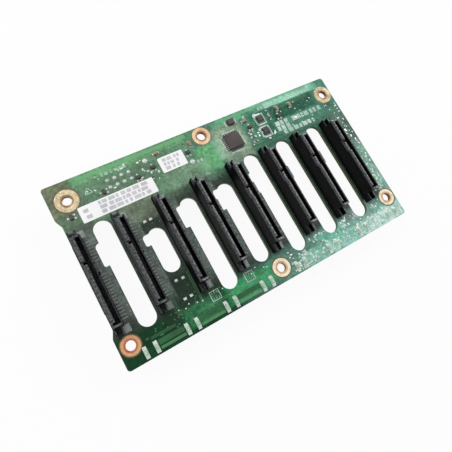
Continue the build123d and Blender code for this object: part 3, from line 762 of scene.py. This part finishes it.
def beside(path, offset):
    """A path moved sideways by a distance, with mitred corners."""
    moved = []
    for i, (x, y) in enumerate(path):
        before = Vector(path[max(i - 1, 0)])
        after = Vector(path[min(i + 1, len(path) - 1)])
        here = Vector((x, y))
        turns = [
            (b - a).normalized() for a, b in ((before, here), (here, after)) if (b - a).length > 0
        ]
        side = sum((Vector((-t.y, t.x)) for t in turns), Vector((0, 0)))
        side = side / side.dot(Vector((-turns[0].y, turns[0].x)))
        moved.append(tuple(here + side * offset))
    return moved


def bundles(*runs):
    """Lines side by side, as a bus runs: each run is how many lines it has, and its path."""
    lines = []
    for count, *path in runs:
        lines += [beside(path, (i - (count - 1) / 2) * LINE_PITCH) for i in range(count)]
    return lines


def outline(x0, y0, x1, y1):
    """A closed rectangle, from one corner to the other."""
    return [(x0, y0), (x1, y0), (x1, y1), (x0, y1), (x0, y0)]


def bars(x, y, length, dashes, rows=1, pitch=0.0):
    """Rows of short dashes that stand where small print would be."""
    made = []
    shortest, gaps = 0.8, (0.4, 0.6, 0.9)
    random = Random(round(x * 10 + y))
    for row in range(rows):
        at = x
        while at < x + length - shortest:
            end = min(at + random.choice(dashes), x + length)
            made.append([(at, y - row * pitch), (end, y - row * pitch)])
            at = end + random.choice(gaps)
    return made


def on_resist(x, y, margin):
    """Whether a place is clear of the sheet's edges, cut-outs, receptacles, lands and labels."""
    if not (margin < x < BOARD_LENGTH - margin and margin < y < BOARD_HEIGHT - margin):
        return False
    if x < RECESS_DEPTH + margin and RECESS_LOW < y < RECESS_HIGH:
        return False
    for left, low, high in zip(CUT_X, CUT_LOW, CUT_HIGH):
        if left - margin < x < left + CUT_LENGTH + margin and low - margin < y < high + margin:
            return False
        top = min(POCKET_HIGH, high - 1) + margin
        if left - POCKET_DEPTH - margin < x < left and POCKET_LOW - margin < y < top:
            return False
    for bay in BAY_X:
        within = bay - COVERED_LEFT - margin < x < bay + COVERED_RIGHT + margin
        if within and COVERED_LOW < y < COVERED_HIGH:
            return False
    for land_x, land_y, radius in (land for group in LANDS.values() for land in group):
        if math.hypot(x - land_x, y - land_y) < radius + RESIST_GAP + margin:
            return False
    return not any(
        x0 - margin < x < x1 + margin and y0 - margin < y < y1 + margin
        for x0, y0, x1, y1 in COVERED)


def scattered(*parts, margin=0.5):
    """Places strewn over parts of the layout, only where there is bare resist.

    Each part is a seed, how many places are tried, and the part's two opposite corners.
    """
    spots = []
    for seed, count, x0, y0, x1, y1 in parts:
        random = Random(seed)
        for _ in range(count):
            spot = (random.uniform(x0, x1), random.uniform(y0, y1), random.choice((0, 90)))
            if on_resist(spot[0], spot[1], margin):
                spots.append(spot)
    return spots


def spots_along(path, pitch):
    """Places at an even pitch along a path."""
    spots = []
    for (x0, y0), (x1, y1) in zip(path, path[1:]):
        count = max(int(math.hypot(x1 - x0, y1 - y0) / pitch), 1)
        spots += [
            (x0 + (x1 - x0) * i / count, y0 + (y1 - y0) * i / count, 0) for i in range(count)
        ]
    return spots


def turned(parts, offsets):
    """Places at offsets from each part's middle, turned with the part."""
    spots = []
    for x, y, turn in parts:
        for dx, dy in offsets:
            spot = Matrix.Rotation(math.radians(turn), 2) @ Vector((dx, dy))
            spots.append((x + spot.x, y + spot.y, turn))
    return spots


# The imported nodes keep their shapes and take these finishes

moulding, resin, tin, solder = receptacle_moulding(), moulded_epoxy(), tin_plating(), tin_solder()
strip_metal, ceramic, film = contact_strip_metal(), capacitor_ceramic(), label_film()
ink, print_ink, greyed = screen_ink(), label_ink(), dull_solder()
resist = solder_resist("resist_over_laminate")
line_resist = solder_resist("resist_over_lines", 0.3)
pour_resist = solder_resist("resist_over_copper", 0.75)
thin_resist = solder_resist("resist_over_thin_copper", 0.45)
FINISHES = {
    "circuit_board": resist, "drive_housing": moulding, "drive_contacts": strip_metal,
    "hold_down_tabs": tin, "long_label": film, "short_label": film,
    "controller_chip": resin, "controller_leads": tin, "small_chips": resin,
    "small_chip_leads": tin, "transistors": resin, "chip_capacitors": ceramic,
    "rear_capacitors": ceramic, "chip_resistors": resistor_glaze(),
    "status_lights": clear_resin(), "power_header": header_nylon(), "power_pins": tin,
    "link_cage": plated_steel(), "link_insulator": insulator_lcp(), "link_contacts": strip_metal,
}
for name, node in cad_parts.items():
    kind = name.rstrip("12345678").rstrip("_")
    for slot in node.material_slots:
        slot.material = FINISHES[kind]

# Plating of the mounting holes, with the resist drawn back round each land

platings = {"copper": bare_copper(), "warm": thin_gold(), "gold": immersion_gold()}
rubbed = {"copper": rubbed_copper(), "warm": rubbed_gold(), "gold": rubbed_gold()}
drawn_back = bare_laminate()
for kind, lands in LANDS.items():
    for number, (x, y, radius) in enumerate(lands, start=1):
        land = plated_land(f"{kind}_land_{number}", x, y, radius)
        carry(land, platings[kind])
        to_edge = min(x, y, BOARD_LENGTH - x, BOARD_HEIGHT - y) - 0.1
        bare = ring(
            f"{kind}_land_ring_{number}", x, y, min(radius + RESIST_GAP, to_edge), radius - 0.15,
            BARE_RING)
        carry(bare, drawn_back)
        worn = ring(
            f"{kind}_rubbed_ring_{number}", x, y, SCREW_HEAD_RADIUS, HOLE_RADIUS - 0.02,
            PROUD + 0.03)
        carry(worn, rubbed[kind])

# Pads and solder


def soldered(name, size, top_share, soften, places, material=solder):
    """A pad or joint of that size at each place, narrower at its top and with eased edges."""
    shape = repeat(name, block("pad", *size, top_share, soften), places)
    return carry(shape, material)


def each_side(distance):
    """Offsets to the left and right of a part's middle."""
    return [(-distance, 0), (distance, 0)]


soldered(
    "contact_solder", (1.7, 0.6, 0.1), 0.75, 0.02,
    turned(BAYS, [(2.95, y) for y in POWER_Y + SIGNAL_Y]), greyed)
soldered(
    "second_port_solder", (0.7, 0.46, 0.09), 0.8, 0.02,
    turned(BAYS, [(2.5, y) for y in SECOND_PORT_Y]), greyed)
soldered(
    "tab_solder", (2.7, 3.2, 0.1), 0.86, 0.03, turned(BAYS, [(1.6, -TAB_Y), (1.6, TAB_Y)]), greyed)
pins = [
    (HEADER_X + (i - 1.5) * HEADER_PITCH, HEADER_Y + (j - 0.5) * HEADER_PITCH, 0)
    for i in range(4) for j in range(2)
]
joints = repeat("header_solder", dome("joint", 1.0, 0.66, 0.84), pins)
carry(joints, header_solder())
posts = [(x + side * 8.9, y - side * 4.1, 0) for x, y in LINKS for side in (-1, 1)]
carry(repeat("cage_post_solder", dome("joint", 1.0, 0.5, 0.35), posts), solder)

chip_sides = [(*CHIP, turn) for turn in (0, 90, 180, 270)]
soldered(
    "controller_pads", (1.3, 0.5, 0.07), 0.8, 0.015,
    turned(chip_sides, [(4.35, (i - 3.5) * 0.8) for i in range(8)]))
chip_rows = [(x, y, turn) for x, y in SMALL_CHIPS for turn in (90, 270)]
soldered(
    "small_chip_pads", (1.3, 0.48, 0.07), 0.8, 0.015,
    turned(chip_rows, [(2.2, (i - 1.5) * 0.7) for i in range(4)]))
empty_rows = [(x, y, turn) for x, y in EMPTY_PLACES for turn in (90, 270)]
soldered(
    "empty_place_pads", (0.9, 0.6, 0.06), 0.85, 0.015,
    turned(empty_rows, [(1.2, (i - 1) * 1.1) for i in range(3)]), greyed)

feet = [(0, 0.98), (-0.7, -0.98), (0.7, -0.98)]
soldered("transistor_feet", (0.42, 0.57, 0.23), 0.96, 0.01, turned(TRANSISTORS, feet), tin)
soldered(
    "transistor_pads", (0.75, 0.95, 0.07), 0.8, 0.015,
    turned(TRANSISTORS, [(x, y * 1.22) for x, y in feet]))
wide_feet = turned([POWER_TRANSISTOR], [(0, -1.96), (0, 1.96)])
soldered("power_transistor_feet", (1.82, 0.72, 0.23), 0.97, 0.01, wide_feet, tin)
soldered("power_transistor_pads", (2.3, 1.3, 0.08), 0.86, 0.02, wide_feet)

# End caps and joints of the capacitors, of which the rear ones are on the other face
CAP_END, CAP_JOINT = ((0.42, 1.28, 1.015), 0.99, 0.03), ((1.0, 1.5, 0.4), 0.62, 0.03)
soldered("capacitor_end_caps", *CAP_END, turned(CAPACITORS, each_side(0.81)), tin)
soldered("capacitor_joints", *CAP_JOINT, turned(CAPACITORS, each_side(1.05)))
soldered(
    "resistor_end_caps", (0.42, 0.83, 0.515), 0.99, 0.02, turned(RESISTORS, each_side(0.61)), tin)
soldered("resistor_joints", (0.8, 1.0, 0.22), 0.66, 0.02, turned(RESISTORS, each_side(0.85)))
bare_pads = [(29.7, 21.0), (32.5, 20.8), (29.5, 13.3), (32.2, 13.3), (29.5, 47.0), (32.0, 47.0)]
soldered("bare_pads", (1.3, 1.0, 0.06), 0.85, 0.02, [(x, y, 0) for x, y in bare_pads])
soldered("light_pads", (0.9, 1.5, 0.07), 0.85, 0.02, turned(LIGHTS, each_side(1.85)))
soldered(
    "light_feet", (0.5, 1.25, 0.6), 0.9, 0.03, turned(LIGHTS, [(-1.25, -0.1), (1.25, 0.1)]))
to_rear(soldered("rear_end_caps", *CAP_END, turned(REAR_CAPACITORS, each_side(0.81)), tin))
to_rear(soldered("rear_joints", *CAP_JOINT, turned(REAR_CAPACITORS, each_side(1.05))))

# Copper under the resist: pours along the edges, and lines from the contacts to the links


def pours(name, shapes, material):
    """Low plates of copper under resist, each from one corner of the layout to the other."""
    made = []
    for x0, y0, x1, y1 in shapes:
        plate = block("pour", x1 - x0, y1 - y0, COPPER, soften=0.008)
        made.append(repeat("pour", plate, [((x0 + x1) / 2, (y0 + y1) / 2, 0)]))
    select_only(*made)
    bpy.ops.object.join()
    return carry(finish_shape(name), material)


between_lights = [(x + 9.2, x + 19.5) for x in BAY_X[:3]]
pours("edge_pours", [(a, 1.3, b, 2.4) for a, b in between_lights], thin_resist)
pours("plane_pours", [(a, 3.0, b, 5.0) for a, b in between_lights], deep_resist())
pours("top_pours", [
    (13, 72.6, 61, 74.3), (76, 73.2, 96, 74.3), (97, 74.0, 126, 74.5),
], pour_resist)

lines = bundles(
    (5, (12, 70.6), (56, 70.6), (59.4, 67.2), (59.4, 58)),
    (4, (42.5, 55.5), (42.5, 59.5), (44, 61)),
    (5, (73, 72.3), (84, 72.3), (91.5, 64.8), (91.5, 57.4)),
    (2, (86, 56.2), (124, 56.2), (127, 53.2)), (5, (132.2, 60), (132.2, 16)),
    (4, (106, 70.2), (124, 70.2)), (4, (63, 51), (65, 53), (74, 53)),
    (3, (25.0, 9), (25.0, 22.5)), (2, (35.0, 9), (35.0, 22.5)),
    (2, (23, 51), (23, 54.5)), (4, (28, 49), (33, 54)),
    (2, (12, 6.6), (22, 6.6)), (2, (31, 6.6), (64, 6.6)), (3, (76, 6.4), (122, 6.4)),
)
for x in BAY_X:
    for y in POWER_Y[::2] + SIGNAL_Y:
        if on_resist(x + 4.5, BAY_Y + y, 0.2):
            lines.append([(x + 3.7, BAY_Y + y), (x + 4.6, BAY_Y + y)])
carry(ribbons("signal_lines", lines, LINE_WIDTH, COPPER), line_resist)

# Vias: some are bare tinned rings, most are covered by the resist; small pads lie between them


def vias(name, radius, waist, places, material):
    """A low eight-sided dome over each plated hole."""
    return carry(repeat(name, dome("via", radius, waist, 0.03, 1, 8), places), material)


by_contacts = []
for x in BAY_X:
    for number, y in enumerate(POWER_Y + SIGNAL_Y):
        by_contacts.append((x + (4.6, 5.2)[number % 2], BAY_Y + y, 0))
by_contacts = [spot for spot in by_contacts if on_resist(spot[0], spot[1], 0.25)]
covered = by_contacts[::2] + scattered(
    (3, 90, 9, 56, 60, 73), (4, 60, 10, 5.5, 66, 11), (5, 40, 23, 9, 37, 55),
    (6, 130, 85, 56, 130, 73), (7, 70, 128.5, 14, 135, 62), (8, 60, 56, 50, 76, 72))
vias("covered_vias", 0.36, 0.2, covered, line_resist)
vias("contact_vias", 0.34, 0.2, by_contacts[1::2], greyed)
bare = scattered(
    (11, 150, 74, 0.8, 135, 11.5), (12, 60, 128.5, 14, 135, 62), (13, 16, 86, 56, 130, 71),
    (14, 14, 10, 56, 60, 72), (15, 12, 23, 9, 66, 11))
vias("bare_vias", 0.3, 0.18, bare, solder)
SMALL_PAD, PAD_MARGIN = ((1.1, 0.7, 0.05), 0.85, 0.015), 0.9
soldered("small_pads", *SMALL_PAD, scattered(
    (21, 90, 75, 1, 135, 11), (22, 14, 86, 57, 100, 72), (23, 20, 128.5, 16, 135, 62),
    (24, 10, 20, 63, 45, 72), margin=PAD_MARGIN))

# Screened ink: outlines of the empty places and plain bars where small print would be


def screened(name, paths, width):
    """Lines of screened ink on the resist."""
    return carry(ribbons(name, paths, width, INK), ink)


triangle = [(14.2, 66.4), (15.6, 69.0), (17.0, 66.4), (14.2, 66.4)]
empty_rings = [outline(x - 1.9, y - 1.9, x + 1.9, y + 1.9) for x, y in EMPTY_PLACES]
screened("ink_outlines", empty_rings + [triangle], 0.4)
screened("chip_rings", [outline(x - 2.2, y - 2.4, x + 2.2, y + 2.4) for x, y in SMALL_CHIPS], 0.9)
long_dashes, short_dashes = (1.5, 1.8, 2.3), (0.9, 1.2, 1.6)
fields = bars(101.5, 62.4, 7.5, long_dashes, 2, 2.5) + bars(110.5, 62.0, 17, long_dashes)
screened("ink_fields", fields + bars(103.5, 57.6, 17, long_dashes), 2.2)
small_fields = bars(97.5, 72.4, 13, short_dashes) + bars(113, 72.4, 13.5, short_dashes)
small_fields += bars(22.5, 71.4, 12, (0.9, 1.5)) + bars(60.4, 61.0, 3, (0.9,))
screened("small_ink_fields", small_fields, 1.3)

# Printed bars on the labels

label_bars = bars(17.0, 61.3, 20.5, (1.1, 1.9, 2.8), 3, 1.9) + bars(10.6, 60.4, 2.4, (2.0,))
label_bars += bars(10.9, 57.8, 2.6, (2.2,)) + bars(47.2, 67.2, 7.6, (1.1, 1.6, 2.2), 3, 1.9)
select_only(ribbons("label_fields", label_bars, 1.5, INK))
bpy.ops.transform.translate(value=(0, 0, LABEL_THICKNESS * MM))
carry(finish_shape("label_fields"), print_ink)

# The rear face's lines, vias and outlines

rear_lines = bundles(
    (6, (9, 59.4), (37, 59.4), (41.5, 54.9), (41.5, 12)),
    (5, (118, 58.2), (96, 58.2), (92.4, 54.6), (92.4, 12)),
    (5, (12, 5.2), (63, 5.2)), (5, (77, 5.2), (126, 5.2)),
    *((3, (x - 2.6, 22), (x - 2.6, 50)) for x in BAY_X),
)
carry(to_rear(ribbons("rear_lines", rear_lines, LINE_WIDTH, COPPER)), line_resist)
rear_vias = [spot for x in BAY_X for spot in spots_along([(x - 1.4, 24), (x - 1.4, 46)], 2.2)]
rear_vias += spots_along([(62, 62), (66, 62)], 2.0) + spots_along([(72, 62), (90, 62)], 2.0)
to_rear(vias("rear_vias", 0.34, 0.2, rear_vias, solder))
strewn = scattered(
    (31, 120, 3, 1, 133, 11), (32, 60, 10, 54, 134, 60.5), (33, 40, 64, 60, 90, 73))
to_rear(vias("rear_covered_vias", 0.36, 0.2, strewn, line_resist))
to_rear(soldered("rear_small_pads", *SMALL_PAD, scattered(
    (34, 26, 8, 2, 130, 10), (35, 14, 64, 60, 90, 72), margin=PAD_MARGIN)))
rear_ink = [outline(x - 1.2, 17.0, x + 2.6, 20.4) for x in BAY_X]
rear_ink += [outline(x - 12.6, y - 5.0, x + 12.6, y + 5.0) for x, y in LINKS]
rear_ink.append(outline(20.6, 62.4, 36.1, 72.4))
to_rear(screened("rear_ink", rear_ink, 0.25))

# Camera, floor and lights, in metres

LOOKED_AT = (0.06, 0.03)
FLOOR_Z = -0.0126


def photo_camera():
    """Looks down on the board from above its lower left part.

    The directions to the picture's right and up were fitted to the photo's view of the board.
    """
    right = Vector((0.85167, -0.48110, 0.20786))
    up = Vector((0.42447, 0.86584, 0.26484))
    camera = bpy.data.objects.new("photo_camera", bpy.data.cameras.new("photo_camera"))
    bpy.context.collection.objects.link(camera)
    camera.data.sensor_width, camera.data.lens = 36.0, 31.89
    camera.data.clip_start = 0.005
    axes = Matrix((right, up, right.cross(up))).transposed().to_4x4()
    camera.matrix_world = Matrix.Translation((0.003162, 0.001009, 0.154592)) @ axes
    bpy.context.scene.camera = camera


def seen_directly(material):
    """One for rays that come from the camera, a reflection or glass, and nought for the rest."""
    path = add(material, "LightPath").outputs
    most = path["Is Camera Ray"]
    for other in ("Is Glossy Ray", "Is Transmission Ray"):
        most = add(material, "Math", {0: most, 1: path[other]}, operation="MAXIMUM")
    return most


def white_floor():
    """A white table top: white to the camera, with a soft shadow, and clear from below."""
    m = blank("white_floor")
    lit = add(m, "BsdfDiffuse", {"Color": (0.9, 0.9, 0.9, 1.0)})
    bright = add(m, "Emission", {"Color": (1.0, 1.0, 1.0, 1.0), "Strength": 1.0})
    # the small share that is lit by the lamps is what carries the shadow
    share = add(m, "Math", {0: seen_directly(m), 1: 0.93}, operation="MULTIPLY")
    top = add(m, "MixShader", {0: share, 1: lit, 2: bright})
    under = add(m, "BsdfTransparent")
    back = add(m, "NewGeometry").outputs["Backfacing"]
    sides = add(m, "MixShader", {0: back, 1: top, 2: under})
    add(m, "OutputMaterial", {"Surface": sides})
    bpy.ops.object.select_all(action="DESELECT")
    bpy.ops.mesh.primitive_plane_add(size=6, location=(*LOOKED_AT, FLOOR_Z))
    floor = finish_shape("floor")
    floor.data.materials.append(m)


def white_room():
    """White to the camera and in reflections, and a plain even light on the object."""
    world = bpy.context.scene.world or bpy.data.worlds.new("room")
    bpy.context.scene.world = world
    world.use_nodes = True
    world.node_tree.nodes.clear()
    strength = add(world, "MapRange", {"Value": seen_directly(world), "To Min": 0.5, "To Max": 1.0})
    room = add(world, "Background", {"Color": (1.0, 1.0, 1.0, 1.0), "Strength": strength})
    add(world, "OutputWorld", {"Surface": room})


def soft_light(name, where, size, watts):
    """A round soft lamp that shines at the board's middle."""
    lamp = bpy.data.objects.new(name, bpy.data.lights.new(name, "AREA"))
    bpy.context.collection.objects.link(lamp)
    lamp.data.shape, lamp.data.size, lamp.data.energy = "DISK", size, watts
    lamp.location = where
    aim = Vector((*LOOKED_AT, 0)) - lamp.location
    lamp.rotation_mode = "QUATERNION"
    lamp.rotation_quaternion = aim.to_track_quat("-Z", "Y")


photo_camera()
white_floor()
white_room()
soft_light("key", (-0.25, 0.35, 0.55), 0.4, 2.0)
soft_light("sheen", (0.55, 0.2, 0.5), 0.35, 1.2)
bpy.context.scene.view_settings.view_transform = "Standard"
